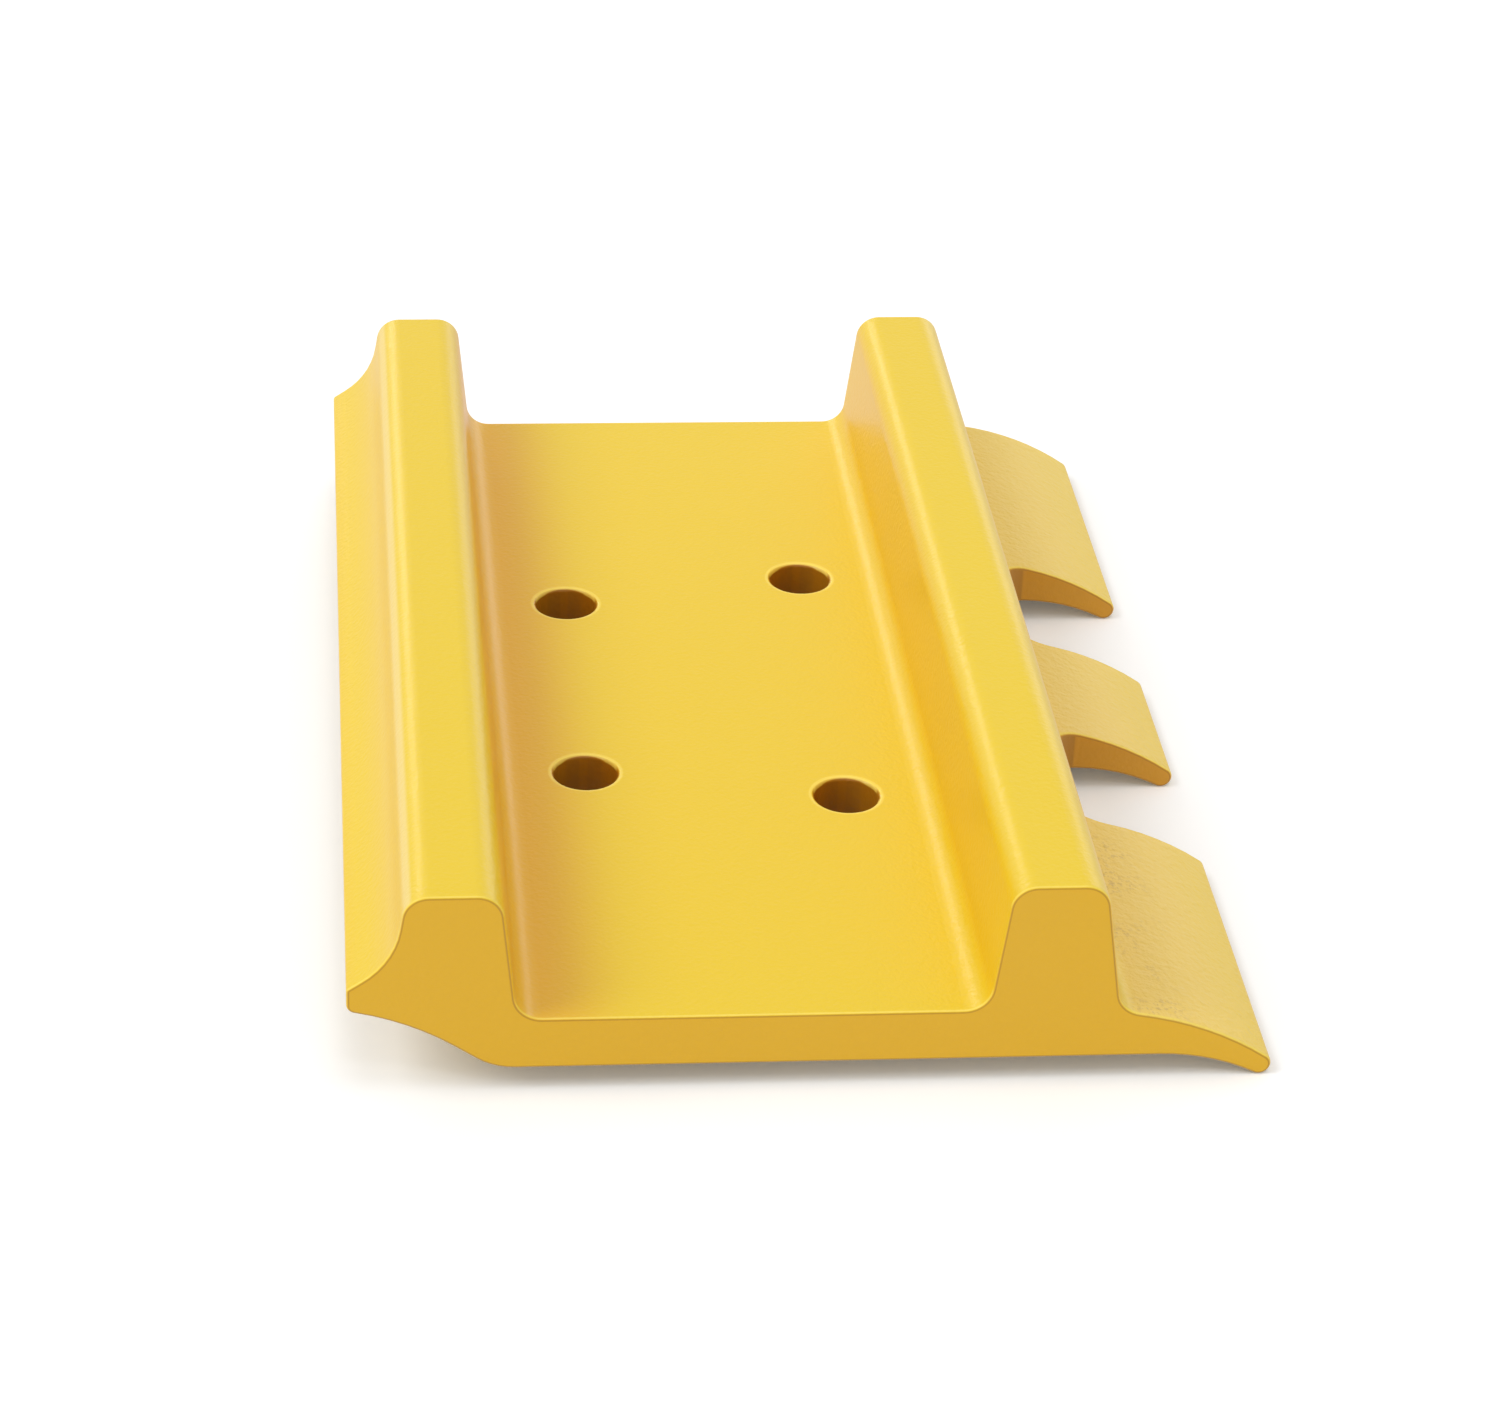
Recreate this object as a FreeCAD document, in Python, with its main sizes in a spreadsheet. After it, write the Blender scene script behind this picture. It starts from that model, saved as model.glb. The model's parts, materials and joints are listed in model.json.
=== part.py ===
"""Double-grouser track shoe for a large excavator, in millimetres.

The shoe is one rolled steel section, cut to length, with two notches in its
trailing lip and four bolt bores. It lies with its grousers up.

Frame: the origin is the centre of the bolt pattern on the underside, where the
track links seat. +Z points to the grousers, +X to the trailing lip, and Y runs
along the section.
"""
import FreeCAD, Part
import math
import os
import Sketcher
from FreeCAD import Vector

SIZES = {
    # the plate and its two grousers, the same on both sides of the bolts
    "shoe_length": 482.0,          # cut length, along Y
    "plate_thickness": 21.5,       # seat face to the floor of the channel
    "grouser_height": 74.5,        # seat face to the grouser tops
    "channel_width": 184.0,        # from grouser to grouser, at their tops
    "grouser_top_width": 34.5,     # across one top, before its corners are rounded
    "inner_draft": 6.5,            # degrees from upright, flanks that face the channel
    "outer_draft": 9.0,            # degrees from upright, flanks that face outwards
    "corner_radius": 10.0,         # along the grouser tops
    "root_radius": 10.0,           # where the flanks run into the plate and the lip
    # the nose, at the leading edge; distances along X are from the grouser's outer top corner
    "nose_reach": 21.2,            # out to the end of the nose
    "nose_height": 35.4,           # seat face to the top edge of the nose
    "nose_thickness": 9.6,         # height of the flat at the end of the nose
    "nose_slope": 34.0,            # degrees from level, top of the nose
    "shoulder_radius": 32.0,       # top of the nose into the flank above it
    "nose_under_radius": 100.0,    # hollow under the nose
    "heel_inset": 32.0,            # in to the leading end of the seat face
    "heel_slope": 34.5,            # degrees from level, underside next to the seat face
    "heel_radius": 25.0,
    "nose_top_radius": 1.5,
    "nose_low_radius": 3.5,
    # the lip, at the trailing edge; distances along X are from the grouser's outer top corner
    "lip_start": 24.3,             # out to the trailing end of the seat face
    "lip_reach": 66.8,             # out to the tip of the lip
    "lip_under_radius": 78.0,      # hollow under the lip
    "lip_tip_radius": 4.4,
    "lip_top_radius": 118.0,       # crown of the lip
    "lip_root_height": 19.6,       # seat face to the foot of the trailing flank
    # the two notches, which clear the links
    "notch_spacing": 142.0,        # from centre to centre
    "notch_width": 68.0,
    "notch_depth": 55.0,           # in from the tip of the lip
    "notch_radius": 15.0,          # inner corners
    # the four bolt bores
    "bore_diameter": 25.5,
    "bore_line_spacing": 102.0,    # between the two lines of bores, along X
    "wide_pair_spacing": 178.4,    # bores of the trailing line, along Y
    "narrow_pair_spacing": 138.4,  # bores of the leading line, along Y
    "bore_rim_radius": 1.7,
    # cut edges
    "edge_radius": 1.3,
}

# FreeCAD's own numbers for the points of a sketched line or arc, and for the sketch's axes
START, END, CENTRE = range(1, 4)
LEVEL_AXIS, UPRIGHT_AXIS = range(-1, -3, -1)
ORIGIN = (LEVEL_AXIS, START)

NEAR = 0.01    # mm, when a face or an edge is looked up by its place


# distances along X from the bolt centre, which follow from the sizes
PLACES = {
    "outer_corner": "channel_width / 2 + grouser_top_width",
    "nose_end": "outer_corner + nose_reach",
    "heel_end": "outer_corner - heel_inset",
    "seat_end": "outer_corner + lip_start",
    "lip_end": "outer_corner + lip_reach",
    "tip_centre": "lip_end - lip_tip_radius",
    "notch_wall": "lip_end - notch_depth",
    "notch_mouth": "lip_end + notch_radius",
    "bore_line": "bore_line_spacing / 2",
}


def make_sheet(doc):
    """The sizes and the places that follow from them, one named cell each."""
    sheet = doc.addObject("Spreadsheet::Sheet", "Sheet")
    cells = {**SIZES, **{name: f"={formula}" for name, formula in PLACES.items()}}
    for row, (name, value) in enumerate(cells.items(), start=1):
        sheet.set(f"A{row}", name)
        sheet.set(f"B{row}", str(value))
        sheet.setAlias(f"B{row}", name)
    doc.recompute()


def size(name):
    """A size or a place, as the sheet has it."""
    return FreeCAD.ActiveDocument.Sheet.get(name)


def plane(body, role):
    return next(f for f in body.Origin.OriginFeatures if f.Role == role)


def add_sketch(body, name, role):
    sketch = body.newObject("Sketcher::SketchObject", name)
    sketch.AttachmentSupport = [(plane(body, role), "")]
    sketch.MapMode = "FlatFace"
    return sketch


def tie(sketch, kind, *where):
    """A constraint with no size."""
    sketch.addConstraint(Sketcher.Constraint(kind, *where))


def dimension(sketch, label, kind, where, value, expression):
    """A named dimension that follows the sheet."""
    index = sketch.addConstraint(Sketcher.Constraint(kind, *where, value))
    sketch.renameConstraint(index, label)
    sketch.setExpression(f"Constraints.{label}", expression)


def lengths(sketch, rows):
    """Dimensions that each equal one size of the sheet, as (kind, where, name of the size)."""
    for kind, where, name in rows:
        dimension(sketch, name, kind, where, size(name), f"Sheet.{name}")


def leans(sketch, rows):
    """Directions of lines, from level, given as (line, base angle, sign, name of the size)."""
    for line, base, sign, name in rows:
        angle = math.radians(base + sign * size(name))
        dimension(sketch, name, "Angle", (line,), angle, f"{base} deg + {sign} deg * Sheet.{name}")


def toward(angle, length):
    """A step in the plane of the section, at an angle in degrees from +X towards +Z."""
    return Vector(length * math.cos(math.radians(angle)), length * math.sin(math.radians(angle)))


def arc(centre, radius, first, last):
    """The arc that turns anticlockwise, from the side of one point to the side of another."""
    angles = [math.atan2(p.y - centre.y, p.x - centre.x) for p in (first, last)]
    return Part.ArcOfCircle(Part.Circle(centre, Vector(0, 0, 1), radius), *angles)


def plate_corners():
    """Corners of the plate and the grousers, before they are rounded."""
    half_channel = size("channel_width") / 2
    top, floor = size("grouser_height"), size("plate_thickness")
    foot = half_channel - (top - floor) * math.tan(math.radians(size("inner_draft")))
    at = {"outer": Vector(size("outer_corner"), top), "inner": Vector(half_channel, top),
          "foot": Vector(foot, floor)}
    at.update({f"front_{name}": Vector(-point.x, point.y) for name, point in at.items()})
    return at


def nose_corners(flank_top):
    """Corners of the nose and the centre of the hollow under it, below the grouser's corner flank_top."""
    top = Vector(-size("nose_end"), size("nose_height"))
    low = top - Vector(0, size("nose_thickness"))
    rise = math.tan(math.radians(size("nose_slope")))
    run = math.tan(math.radians(size("outer_draft")))
    lift = rise * (flank_top.x - (flank_top.y - top.y) * run - top.x) / (1 - rise * run)
    heel = Vector(-size("heel_end"), 0)
    along = toward(180 - size("heel_slope"), 1)
    across = toward(270 - size("heel_slope"), size("nose_under_radius"))
    chord = heel - low
    half = chord.dot(along)
    end = heel - along * (half + math.sqrt(half**2 - chord.dot(chord) - 2 * chord.dot(across)))
    return {"nose_top": top, "nose_low": low, "shoulder": top + Vector(lift / rise, lift),
            "heel": heel, "hollow_end": end, "hollow_centre": end + across}


def lip_corners(flank_top):
    """Points of the lip: the end of the seat face, the foot of the flank and the centres of its arcs."""
    under, tip, crown = (size(f"lip_{name}_radius") for name in ("under", "tip", "top"))
    seat_end = Vector(size("seat_end"), 0)
    root_drop = flank_top.y - size("lip_root_height")
    root = flank_top + Vector(root_drop * math.tan(math.radians(size("outer_draft"))), -root_drop)
    under_centre = seat_end - Vector(0, under)
    tip_x = size("tip_centre")
    tip_centre = Vector(tip_x, math.sqrt((under + tip)**2 - (tip_x - seat_end.x)**2) - under)
    way = tip_centre - root
    along = (way.Length**2 + crown**2 - (crown - tip)**2) / (2 * way.Length)
    aside = Vector(way.y, -way.x).normalize() * math.sqrt(crown**2 - along**2)
    return {"seat_end": seat_end, "root": root, "under_centre": under_centre, "tip_centre": tip_centre,
            "crown_centre": root + way.normalize() * along + aside}


def draw_section(body):
    """The rolled section with sharp corners. Returns the sketch, and its corners as (line, point)."""
    at = plate_corners()
    at.update(nose_corners(at["front_outer"]))
    at.update(lip_corners(at["outer"]))
    sketch = add_sketch(body, "Section", "XZ_Plane")
    tip = at["tip_centre"]
    above_tip = tip * 2 - at["crown_centre"]

    lines = [("seat", "heel", "seat_end"), ("rear_flank", "root", "outer"), ("rear_top", "inner", "outer"),
             ("rear_wall", "foot", "inner"), ("floor", "front_foot", "foot"),
             ("front_wall", "front_foot", "front_inner"), ("front_top", "front_outer", "front_inner"),
             ("front_flank", "shoulder", "front_outer"), ("nose_top", "nose_top", "shoulder"),
             ("nose_end", "nose_low", "nose_top"), ("ramp", "heel", "hollow_end")]
    arcs = [("lip_under", "under_centre", "lip_under_radius", tip, at["seat_end"]),
            ("lip_tip", "tip_centre", "lip_tip_radius", at["under_centre"], above_tip),
            ("lip_top", "crown_centre", "lip_top_radius", tip, at["root"]),
            ("nose_under", "hollow_centre", "nose_under_radius", at["hollow_end"], at["nose_low"])]
    on = {}
    for name, first, last in lines:
        on[name] = sketch.addGeometry(Part.LineSegment(at[first], at[last]), False)
    for name, centre, radius, first, last in arcs:
        on[name] = sketch.addGeometry(arc(at[centre], size(radius), first, last), False)

    corners = {
        "rear_outer": [("rear_flank", END), ("rear_top", END)],
        "rear_inner": [("rear_top", START), ("rear_wall", END)],
        "rear_foot": [("rear_wall", START), ("floor", END)],
        "front_foot": [("floor", START), ("front_wall", START)],
        "front_inner": [("front_wall", END), ("front_top", END)],
        "front_outer": [("front_top", START), ("front_flank", END)],
        "shoulder": [("front_flank", START), ("nose_top", END)],
        "nose_top": [("nose_top", START), ("nose_end", END)],
        "nose_low": [("nose_end", START), ("nose_under", END)],
        "heel": [("ramp", START), ("seat", START)],
        "lip_root": [("lip_top", END), ("rear_flank", START)],
    }
    smooth = [("seat", END, "lip_under", END), ("lip_under", START, "lip_tip", START),
              ("lip_tip", END, "lip_top", START), ("ramp", END, "nose_under", START)]
    for (first, first_point), (second, second_point) in corners.values():
        tie(sketch, "Coincident", on[first], first_point, on[second], second_point)
    for first, first_point, second, second_point in smooth:
        tie(sketch, "Tangent", on[first], first_point, on[second], second_point)
    for name in ("seat", "rear_top", "front_top"):
        tie(sketch, "Horizontal", on[name])
    tie(sketch, "Vertical", on["nose_end"])
    tie(sketch, "PointOnObject", on["seat"], START, LEVEL_AXIS)
    tie(sketch, "Equal", on["rear_top"], on["front_top"])
    for ends in ((on["floor"], START, on["floor"], END), (on["front_top"], END, on["rear_top"], START)):
        tie(sketch, "Symmetric", *ends, UPRIGHT_AXIS)

    lengths(sketch, [
        ("DistanceY", (*ORIGIN, on["floor"], END), "plate_thickness"),
        ("DistanceY", (*ORIGIN, on["rear_top"], END), "grouser_height"),
        ("DistanceX", (on["front_top"], END, on["rear_top"], START), "channel_width"),
        ("Distance", (on["rear_top"],), "grouser_top_width"),
        ("DistanceX", (on["nose_end"], END, *ORIGIN), "nose_end"),
        ("DistanceY", (*ORIGIN, on["nose_end"], END), "nose_height"),
        ("Distance", (on["nose_end"],), "nose_thickness"),
        ("Radius", (on["nose_under"],), "nose_under_radius"),
        ("DistanceX", (on["seat"], START, *ORIGIN), "heel_end"),
        ("DistanceX", (*ORIGIN, on["seat"], END), "seat_end"),
        ("DistanceX", (*ORIGIN, on["lip_tip"], CENTRE), "tip_centre"),
        ("DistanceY", (*ORIGIN, on["rear_flank"], START), "lip_root_height"),
        ("Radius", (on["lip_under"],), "lip_under_radius"),
        ("Radius", (on["lip_tip"],), "lip_tip_radius"),
        ("Radius", (on["lip_top"],), "lip_top_radius"),
    ])
    leans(sketch, [
        (on["rear_wall"], 90, -1, "inner_draft"),
        (on["rear_flank"], 90, 1, "outer_draft"),
        (on["nose_top"], 0, 1, "nose_slope"),
        (on["ramp"], 180, -1, "heel_slope"),
    ])
    dimension(sketch, "front_draft", "Angle", (on["front_flank"],),
              math.radians(90 - size("outer_draft")), "90 deg - 1 deg * Sheet.outer_draft")
    return sketch, {name: (on[pair[0][0]], pair[0][1]) for name, pair in corners.items()}


def straight_edges(feature, sketch, points):
    """Names of the edges along Y that start from these points of the section."""
    names = []
    for line, end in points:
        spot = sketch.getPoint(line, end)
        for number, edge in enumerate(feature.Shape.Edges, start=1):
            middle = edge.CenterOfMass
            along_y = abs(edge.BoundBox.YLength - edge.Length) < NEAR
            if along_y and math.hypot(middle.x - spot.x, middle.z - spot.y) < NEAR:
                names.append(f"Edge{number}")
    if len(names) != len(points):
        raise RuntimeError(f"{feature.Name}: {len(names)} of {len(points)} edges found")
    return names


def round_edges(body, name, base, edges, size):
    """A fillet on named edges of the feature before it, with a radius from the sheet."""
    fillet = body.newObject("PartDesign::Fillet", name)
    fillet.Base = (base, edges)
    fillet.setExpression("Radius", f"Sheet.{size}")
    body.Document.recompute()
    return fillet


def make_section(body):
    """The section pulled to length, with its corners rounded one radius after another."""
    doc = body.Document
    sketch, corners = draw_section(body)
    doc.recompute()
    bar = body.newObject("PartDesign::Pad", "Bar")
    bar.Profile = sketch
    bar.SideType = "Symmetric"
    bar.setExpression("Length", "Sheet.shoe_length")
    doc.recompute()
    rounds = [
        ("GrouserCorners", "corner_radius", ("rear_outer", "rear_inner", "front_inner", "front_outer")),
        ("Roots", "root_radius", ("rear_foot", "front_foot", "lip_root")),
        ("Shoulder", "shoulder_radius", ("shoulder",)),
        ("Heel", "heel_radius", ("heel",)),
        ("NoseTop", "nose_top_radius", ("nose_top",)),
        ("NoseLow", "nose_low_radius", ("nose_low",)),
    ]
    last = bar
    for name, size, places in rounds:
        edges = straight_edges(last, sketch, [corners[place] for place in places])
        last = round_edges(body, name, last, edges, size)
    return last


def cut_notches(body):
    """Two notches with rounded inner corners, open at the tip of the lip."""
    doc = body.Document
    inner, outer, radius = size("notch_wall"), size("notch_mouth"), size("notch_radius")
    near = (size("notch_spacing") - size("notch_width")) / 2
    far = near + size("notch_width")
    sketch = add_sketch(body, "NotchOutline", "XY_Plane")
    outline = [
        Part.LineSegment(Vector(outer, near), Vector(inner + radius, near)),
        arc(Vector(inner + radius, near + radius), radius, Vector(inner, near + radius),
            Vector(inner + radius, near)),
        Part.LineSegment(Vector(inner, near + radius), Vector(inner, far - radius)),
        arc(Vector(inner + radius, far - radius), radius, Vector(inner + radius, far),
            Vector(inner, far - radius)),
        Part.LineSegment(Vector(inner + radius, far), Vector(outer, far)),
        Part.LineSegment(Vector(outer, far), Vector(outer, near)),
    ]
    added = [sketch.addGeometry(piece, False) for piece in outline]
    near_side, near_corner, wall, far_corner, far_side, mouth = added
    for smooth in ((near_side, END, near_corner, END), (near_corner, START, wall, START),
                   (wall, END, far_corner, END), (far_corner, START, far_side, START)):
        tie(sketch, "Tangent", *smooth)
    for corner in ((far_side, END, mouth, START), (mouth, END, near_side, START)):
        tie(sketch, "Coincident", *corner)
    for upright in (wall, mouth):
        tie(sketch, "Vertical", upright)
    for level in (near_side, far_side):
        tie(sketch, "Horizontal", level)
    tie(sketch, "Equal", near_corner, far_corner)
    lengths(sketch, [
        ("Radius", (near_corner,), "notch_radius"),
        ("Distance", (mouth,), "notch_width"),
        ("DistanceX", (*ORIGIN, wall, START), "notch_wall"),
        ("DistanceX", (*ORIGIN, mouth, START), "notch_mouth"),
    ])
    dimension(sketch, "near_side", "DistanceY", (*ORIGIN, near_side, START), near,
              "(Sheet.notch_spacing - Sheet.notch_width) / 2")
    notch = body.newObject("PartDesign::Pocket", "Notch")
    notch.Profile = sketch
    notch.Type = "ThroughAll"
    notch.SideType = "Symmetric"
    doc.recompute()
    pair = body.newObject("PartDesign::Mirrored", "NotchPair")
    pair.Originals = [notch]
    pair.MirrorPlane = (plane(body, "XZ_Plane"), [""])
    body.Tip = pair
    doc.recompute()
    return pair


def drill_bores(body):
    """Four through bores, the wide pair next to the lip, with rounded rims in the channel."""
    doc = body.Document
    sketch = add_sketch(body, "BoreCentres", "XY_Plane")
    radius = size("bore_diameter") / 2
    for name, side, spacing in (("wide", 1, "wide_pair_spacing"), ("narrow", -1, "narrow_pair_spacing")):
        x, y = side * size("bore_line"), size(spacing) / 2
        pair = [sketch.addGeometry(Part.Circle(Vector(x, sign * y), Vector(0, 0, 1), radius), False)
                for sign in (-1, 1)]
        ends = (pair[0], CENTRE, pair[1], CENTRE)
        tie(sketch, "Symmetric", *ends, LEVEL_AXIS)
        lengths(sketch, [("DistanceY", ends, spacing)])
        reach = (*ORIGIN, pair[0], CENTRE) if side > 0 else (pair[0], CENTRE, *ORIGIN)
        dimension(sketch, f"{name}_line", "DistanceX", reach, abs(x), "Sheet.bore_line")
        for number, circle in enumerate(pair):
            label = f"{name}_bore_{number}"
            dimension(sketch, label, "Diameter", (circle,), 2 * radius, "Sheet.bore_diameter")
    doc.recompute()
    bores = body.newObject("PartDesign::Pocket", "Bores")
    bores.Profile = sketch
    bores.Type = "ThroughAll"
    bores.SideType = "Symmetric"
    doc.recompute()
    rims = [f"Edge{number}" for number, edge in enumerate(bores.Shape.Edges, start=1)
            if isinstance(edge.Curve, Part.Circle) and abs(edge.Curve.Radius - radius) < NEAR
            and abs(edge.CenterOfMass.z - size("plate_thickness")) < NEAR]
    if len(rims) != 4:
        raise RuntimeError(f"{len(rims)} bore rims found, not 4")
    return round_edges(body, "BoreRims", bores, rims, "bore_rim_radius")


def is_cut_face(face):
    """True on the sawn ends and on the walls of the notches."""
    surface = face.Surface
    if isinstance(surface, Part.Cylinder):
        upright = abs(surface.Axis.z) > 1 - NEAR
        return upright and abs(surface.Radius - size("notch_radius")) < NEAR
    if not isinstance(surface, Part.Plane):
        return False
    sideways, lengthways = abs(surface.Axis.x) > 1 - NEAR, abs(surface.Axis.y) > 1 - NEAR
    return lengthways or (sideways and abs(face.CenterOfMass.x - size("notch_wall")) < NEAR)


def ease_cut_edges(body, base):
    """A small radius where the sawn ends and the notch walls meet the rolled surfaces."""
    uses = {}
    for face in base.Shape.Faces:
        for edge in face.Edges:
            uses.setdefault(edge.hashCode(), []).append(is_cut_face(face))
    edges = [f"Edge{number}" for number, edge in enumerate(base.Shape.Edges, start=1)
             if sorted(uses[edge.hashCode()]) == [False, True]]
    return round_edges(body, "EasedEdges", base, edges, "edge_radius")


def check(doc):
    for item in doc.Objects:
        if {"Invalid", "Error"} & set(item.State):
            raise RuntimeError(f"{item.Name} failed: {item.State}")
        if item.TypeId == "Sketcher::SketchObject" and item.solve() != 0:
            raise RuntimeError(f"{item.Name} has no solution")
        if item.TypeId == "Sketcher::SketchObject" and not item.FullyConstrained:
            raise RuntimeError(f"{item.Name} isn't fully constrained")


def main():
    doc = FreeCAD.newDocument("TrackShoe")
    make_sheet(doc)
    body = doc.addObject("PartDesign::Body", "TrackShoe")
    body.Label = "track_shoe"
    section = make_section(body)
    notched = cut_notches(body)
    drilled = drill_bores(body)
    eased = ease_cut_edges(body, drilled)
    doc.recompute()
    check(doc)
    steps = [step.Shape.Volume for step in (section, notched, drilled, eased)]
    print("volumes in mm3:", [round(volume) for volume in steps])
    if steps != sorted(steps, reverse=True):
        raise RuntimeError("a cut has taken nothing away")
    shape = body.Shape
    if shape.isNull() or not shape.isValid() or len(shape.Solids) != 1:
        raise RuntimeError("the shoe isn't one valid solid")
    os.makedirs("parts", exist_ok=True)
    shape.exportStep(f"parts/{body.Label}.step")
    box = shape.optimalBoundingBox(False, True)
    corners = (box.XMin, box.XMax, box.YMin, box.YMax, box.ZMin, box.ZMax)
    print("box in mm:", *(round(corner, 3) for corner in corners))


main()
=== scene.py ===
import json
import math

import bpy
from mathutils import Matrix, Vector


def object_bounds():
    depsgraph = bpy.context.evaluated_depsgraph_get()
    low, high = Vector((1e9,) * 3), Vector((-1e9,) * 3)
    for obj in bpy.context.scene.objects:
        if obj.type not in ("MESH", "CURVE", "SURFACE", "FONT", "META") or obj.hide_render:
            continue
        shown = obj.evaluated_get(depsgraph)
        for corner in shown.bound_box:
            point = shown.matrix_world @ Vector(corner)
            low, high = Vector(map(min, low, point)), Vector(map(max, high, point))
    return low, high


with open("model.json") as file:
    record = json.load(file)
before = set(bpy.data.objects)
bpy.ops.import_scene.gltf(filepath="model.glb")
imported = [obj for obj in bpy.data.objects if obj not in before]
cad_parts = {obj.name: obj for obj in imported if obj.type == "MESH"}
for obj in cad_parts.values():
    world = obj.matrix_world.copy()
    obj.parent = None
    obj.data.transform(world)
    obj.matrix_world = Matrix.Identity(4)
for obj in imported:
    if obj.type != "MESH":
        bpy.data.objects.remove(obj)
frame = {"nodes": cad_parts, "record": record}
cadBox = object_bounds()
print("frame loaded")

shoe = frame["nodes"]["track_shoe"]
mounts = {mount["name"]: mount for mount in frame["record"]["mounts"]}


# shader maths

class Socket:
    # a shader socket whose sums and products add their own nodes
    def __init__(self, shader, link):
        self.shader = shader
        self.link = link

    def __add__(self, other):
        return self.shader.math("ADD", self, other)

    def __sub__(self, other):
        return self.shader.math("SUBTRACT", self, other)

    def __rsub__(self, other):
        return self.shader.math("SUBTRACT", other, self)

    def __mul__(self, other):
        return self.shader.math("MULTIPLY", self, other)

    __radd__ = __add__
    __rmul__ = __mul__


class Shader:
    # the nodes of one material or world
    def __init__(self, owner, surface):
        owner.use_nodes = True
        self.owner = owner
        self.tree = owner.node_tree
        self.surface = self.tree.nodes[surface]

    def node(self, kind, settings, inputs, output=0):
        made = self.tree.nodes.new(kind)
        for name, value in settings.items():
            setattr(made, name, value)
        for name, value in inputs.items():
            self.join(made.inputs[name], value)
        return Socket(self, made.outputs[output])

    def join(self, socket, value):
        if isinstance(value, Socket):
            self.tree.links.new(value.link, socket)
        else:
            socket.default_value = value

    def finish(self, **inputs):
        for name, value in inputs.items():
            self.join(self.surface.inputs[name.replace("_", " ")], value)
        return self.owner

    def math(self, operation, *values):
        return self.node("ShaderNodeMath", {"operation": operation}, dict(enumerate(values)))

    def split(self, vector):
        parts = self.node("ShaderNodeSeparateXYZ", {}, {0: vector})
        return [Socket(self, output) for output in parts.link.node.outputs]

    def noise(self, place, scale, detail=2.0, rough=0.5):
        return self.node("ShaderNodeTexNoise", {},
                         {"Vector": place, "Scale": scale, "Detail": detail, "Roughness": rough})

    def mask(self, value, span):
        # rises smoothly from 0 to 1 between the two ends of a span
        start, full = spans[span]
        return self.node("ShaderNodeMapRange", {"interpolation_type": "SMOOTHSTEP"},
                         {"Value": value, "From Min": start, "From Max": full})

    def mix(self, amount, first, second):
        return self.node("ShaderNodeMix", {"data_type": "RGBA"}, {0: amount, 6: first, 7: second}, 2)


# paint

paint = {
    # colours
    "flank": (0.80, 0.450, 0.010, 1),      # faces that stand upright
    "paintedTopLight": (0.80, 0.560, 0.012, 1),      # painted light: faces that look up, paler and more lemon as brightly lit tops look
    "paintedSideLight": (0.82, 0.515, 0.008, 1),     # painted light: faces turned to -X, such as the trailing grouser's flank in the channel, brighter where the key lamp falls
    "paintedRootShade": (0.79, 0.430, 0.008, 1),     # painted shade along the leading root of the channel, where the leading grouser shades the plate
    "under": (0.62, 0.46, 0.200, 1),       # faces that look down
    "paintedReflection": (0.86, 0.66, 0.240, 1),        # painted reflection of the white floor in the hollow outer flank of the leading grouser
    "paintedEdgeShade": (0.36, 0.15, 0.010, 1),        # painted shade: a dark line along each cut edge
    "paintedHighlight": (0.95, 0.74, 0.120, 1),         # painted highlight: the bright line beside that, and round each bore
    "paintedNotchShade": (0.66, 0.31, 0.012, 1),       # painted shade over the walls of the notches
    # painted shade inside the bores
    "paintedBoreShade": (0.44, 0.175, 0.006, 1),
    # painted highlight: a paler lip top where it catches the light from behind
    "onLip": (0.86, 0.60, 0.120, 1),
    "worn": (0.52, 0.30, 0.070, 1),        # freckles at the foot of the trailing grouser
    # how far some of them show
    "rootShadeDepth": 0.85,
    "reflectionDepth": 0.8,
    "edgeShadeDepth": 0.55,
    "highlightDepth": 0.6,
    "lipSheenDepth": (0.84, 0.66),              # how strong the lip's painted highlight is at the near end and the far end
    "tipLoss": 0.4,                        # share of that lost at the tips
    "wornDepth": 0.55,
    # surface
    "gloss": 0.42,
    "rough": 0.35,
    "lipRough": 0.44,
    "peel": {"scale": 520},                                # orange peel; scales are per metre
    "peelHeight": 0.00024,
    "hide": {"scale": 330, "detail": 3.0, "rough": 0.6},   # wrinkles on the lip
    "hideHeight": 0.00075,
    "freckles": {"scale": 520, "detail": 5.0, "rough": 0.65},
    "clouds": {"scale": 45, "detail": 3.0},
}

# where each mask starts and where it is full
spans = {
    # by one part of the normal
    "up": (0.15, 0.85),
    "lipUp": (0.3, 0.7),
    "level": (0.0, 0.3),
    "down": (-0.2, -0.6),
    "paintedSideLight": (-0.5, -0.9),
    "hollowTilt": (-0.58, -0.74),
    "hollowTiltEnd": (-0.97, -0.87),
    "wallTilt": (0.5, 0.9),
    "edgeShadeTilt": (0.78, 0.88),
    "edgeShadeTiltEnd": (0.998, 0.985),
    "highlightTilt": (0.12, 0.30),
    "highlightTiltEnd": (0.80, 0.66),
    # along X
    "hollow": (-0.085, -0.095),
    "hollowEnd": (-0.134, -0.122),
    "paintedRootShade": (-0.040, -0.078),
    "wall": (0.126, 0.136),
    "lip": (0.136, 0.144),                 # from the foot of the trailing grouser
    "worn": (0.168, 0.150),
    "tip": (0.165, 0.190),
    # along Y
    "wallLength": (0.2385, 0.2375),
    "lipLength": (-0.10, 0.12),
    "wornLength": (-0.105, -0.135),
    # along Z
    "rootShadeHeight": (0.040, 0.022),
    # outwards from a bore's wall
    "bore": (0.0011, 0.0002),
    "ring": (0.0006, 0.0012),
    "ringEnd": (0.0026, 0.0016),
    # by the value of a noise
    "freckles": (0.50, 0.62),
    "clouds": (0.38, 0.62),
}


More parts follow.
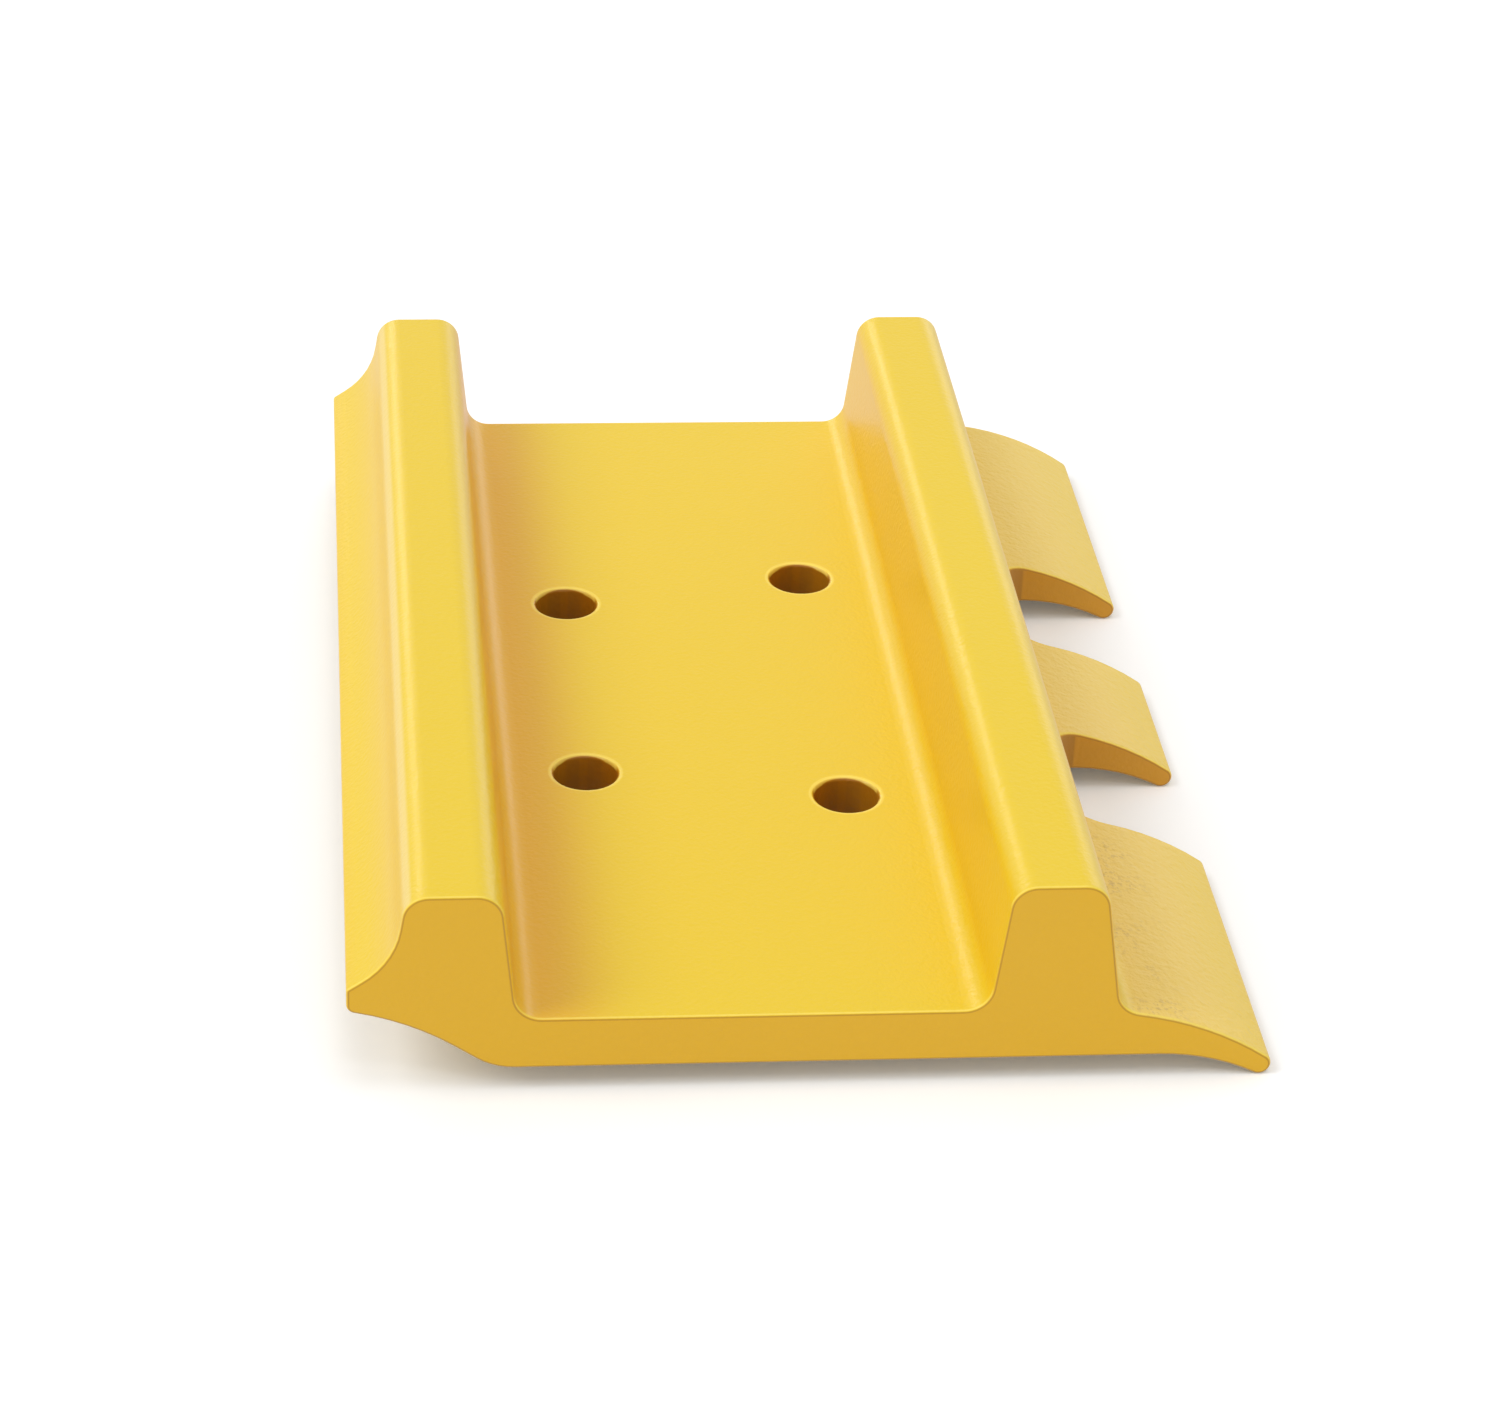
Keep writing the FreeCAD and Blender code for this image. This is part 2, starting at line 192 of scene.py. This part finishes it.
def boreMasks(shader, x, y):
    # 1 inside the bores, which take a painted shade, and 1 on a narrow ring round each mouth, which takes a
    # painted highlight
    inside, ring = 0.0, 0.0
    for name in ("wide_bolts", "narrow_bolts"):
        mount = mounts[name]
        dx = x - mount["pos_m"][0]
        dy = shader.math("ABSOLUTE", y) - mount["dims"]["spacing_y_mm"] / 2000
        fromWall = shader.math("SQRT", dx * dx + dy * dy) - mount["dims"]["hole_r_mm"] / 1000
        inside = shader.mask(fromWall, "bore") + inside
        ring = shader.mask(fromWall, "ring") * shader.mask(fromWall, "ringEnd") + ring
    return inside, ring


def paintMaterial():
    shader = Shader(bpy.data.materials.new("trackPaint"), "Principled BSDF")
    mask = shader.mask
    place = shader.node("ShaderNodeTexCoord", {}, {}, "Object")
    x, y, z = shader.split(place)
    tiltX, tiltY, tiltZ = shader.split(shader.node("ShaderNodeNewGeometry", {}, {}, "Normal"))
    endwise = shader.math("ABSOLUTE", tiltY)

    up = mask(tiltZ, "up")
    level = mask(tiltZ, "level")
    # the hollow outer flank, where the painted reflection goes
    hollow = mask(tiltX, "hollowTilt") * mask(tiltX, "hollowTiltEnd")
    hollow = hollow * mask(x, "hollow") * mask(x, "hollowEnd")
    paintedRootShade = mask(x, "paintedRootShade") * mask(z, "rootShadeHeight") * level
    onLip = mask(x, "lip") * mask(tiltZ, "lipUp")
    notchWall = mask(x, "wall") * mask(endwise, "wallTilt") * mask(shader.math("ABSOLUTE", y), "wallLength")
    paintedBoreShade, ring = boreMasks(shader, x, y)
    freckles = mask(shader.noise(place, **paint["freckles"]), "freckles")
    clouds = mask(shader.noise(place, **paint["clouds"]), "clouds")
    worn = onLip * mask(x, "worn") * mask(y, "wornLength") * freckles * clouds
    edgeShadeLine = mask(endwise, "edgeShadeTilt") * mask(endwise, "edgeShadeTiltEnd")
    edgeHighlight = mask(endwise, "highlightTilt") * mask(endwise, "highlightTiltEnd") * level
    near, far = paint["lipSheenDepth"]
    lipSheenDepth = (mask(y, "lipLength") * (far - near) + near) * (1 - mask(x, "tip") * paint["tipLoss"])

    colour = paint["flank"]
    for name, amount in (
            ("paintedSideLight", mask(tiltX, "paintedSideLight")),
            ("paintedTopLight", up),
            ("paintedReflection", hollow * paint["reflectionDepth"]),
            ("paintedRootShade", paintedRootShade * paint["rootShadeDepth"]),
            ("onLip", onLip * lipSheenDepth),
            ("under", mask(tiltZ, "down")),
            ("paintedNotchShade", notchWall),
            ("paintedBoreShade", paintedBoreShade),
            ("worn", worn * paint["wornDepth"]),
            ("paintedEdgeShade", edgeShadeLine * paint["edgeShadeDepth"]),
            ("paintedHighlight", (edgeHighlight + ring * up) * paint["highlightDepth"])):
        colour = shader.mix(amount, colour, paint[name])

    peel = shader.noise(place, **paint["peel"])
    hide = shader.noise(place, **paint["hide"])
    height = peel * paint["peelHeight"] + hide * onLip * paint["hideHeight"]
    bump = shader.node("ShaderNodeBump", {}, {"Strength": 1.0, "Distance": 1.0, "Height": height})
    rough = onLip * (paint["lipRough"] - paint["rough"]) + paint["rough"]
    return shader.finish(Base_Color=colour, Roughness=rough, Specular_IOR_Level=paint["gloss"], Normal=bump)


shoe.data.materials.clear()
shoe.data.materials.append(paintMaterial())
print("paint done")


# floor

ground = {
    "reach": 8.0,
    "white": (0.94, 0.955, 0.97, 1),
    "glow": (0.10, 0.095, 0.09, 1),        # only the camera sees it
    "unlit": (0, 0, 0, 1),
}


def addFloor():
    bpy.ops.mesh.primitive_plane_add(size=2 * ground["reach"], location=(0, 0, cadBox[0].z))
    floor = bpy.context.object
    floor.name = "floor"
    shader = Shader(bpy.data.materials.new("floorWhite"), "Principled BSDF")
    seen = shader.node("ShaderNodeLightPath", {}, {}, "Is Camera Ray")
    glow = shader.mix(seen, ground["unlit"], ground["glow"])
    floor.data.materials.append(shader.finish(
        Base_Color=ground["white"], Roughness=1.0, Specular_IOR_Level=0.0,
        Emission_Color=glow, Emission_Strength=1.0))


addFloor()
print("floor done")


# lights

lights = {
    "world": 0.60,           # level of the light from all round
    "sky": (1, 1, 1, 1),
    "lamps": {               # where each one stands, how wide it looks in degrees, and its level
        "overhead": {"from": (0.05, -0.1, 1.0), "spread": 30, "level": 0.15},
        "key": {"from": (-0.8, -0.15, 0.9), "spread": 32, "level": 0.34},
        "front": {"from": (0.05, -0.5, 0.87), "spread": 8, "level": 0.05},
        "backRight": {"from": (0.485, 0.840, 0.242), "spread": 22, "level": 0.05},
        "backLeft": {"from": (-0.287, 0.882, 0.375), "spread": 16, "level": 0.07},
    },
}


def addWorld():
    world = bpy.data.worlds.new("studio")
    bpy.context.scene.world = world
    shader = Shader(world, "Background")
    seen = 0.0
    for ray in ("Is Camera Ray", "Is Glossy Ray", "Is Transmission Ray"):
        seen = shader.node("ShaderNodeLightPath", {}, {}, ray) + seen
    strength = seen * (1 - lights["world"]) + lights["world"]
    shader.finish(Color=lights["sky"], Strength=strength)


def addLamps():
    for name, lamp in lights["lamps"].items():
        data = bpy.data.lights.new(name, "SUN")
        data.energy = lamp["level"] * math.pi
        data.angle = math.radians(lamp["spread"])
        made = bpy.data.objects.new(name, data)
        bpy.context.collection.objects.link(made)
        made.rotation_euler = Vector(lamp["from"]).to_track_quat("Z", "Y").to_euler()


addWorld()
addLamps()
print("lights done")


# camera

view = {
    "at": (-0.1563, -1.5118, 0.8974),
    "heading": 5.744,      # degrees from +Y towards +X
    "dip": 29.514,
    "roll": 2.152,
    "lens": 103.12,        # in millimetres, as the sensor's width
    "sensor": 36,
    "nearClip": 0.1,
    "shift": (0.0357, -0.0431),
}


def addCamera():
    data = bpy.data.cameras.new("camera")
    data.lens = view["lens"]
    data.sensor_width = view["sensor"]
    data.shift_x, data.shift_y = view["shift"]
    data.clip_start = view["nearClip"]
    camera = bpy.data.objects.new("camera", data)
    bpy.context.collection.objects.link(camera)
    turn = (Matrix.Rotation(math.radians(-view["heading"]), 4, "Z")
            @ Matrix.Rotation(math.radians(90 - view["dip"]), 4, "X")
            @ Matrix.Rotation(math.radians(view["roll"]), 4, "Z"))
    camera.matrix_world = Matrix.Translation(view["at"]) @ turn
    bpy.context.scene.camera = camera


addCamera()
bpy.context.scene.view_settings.view_transform = "Standard"
print("camera done")
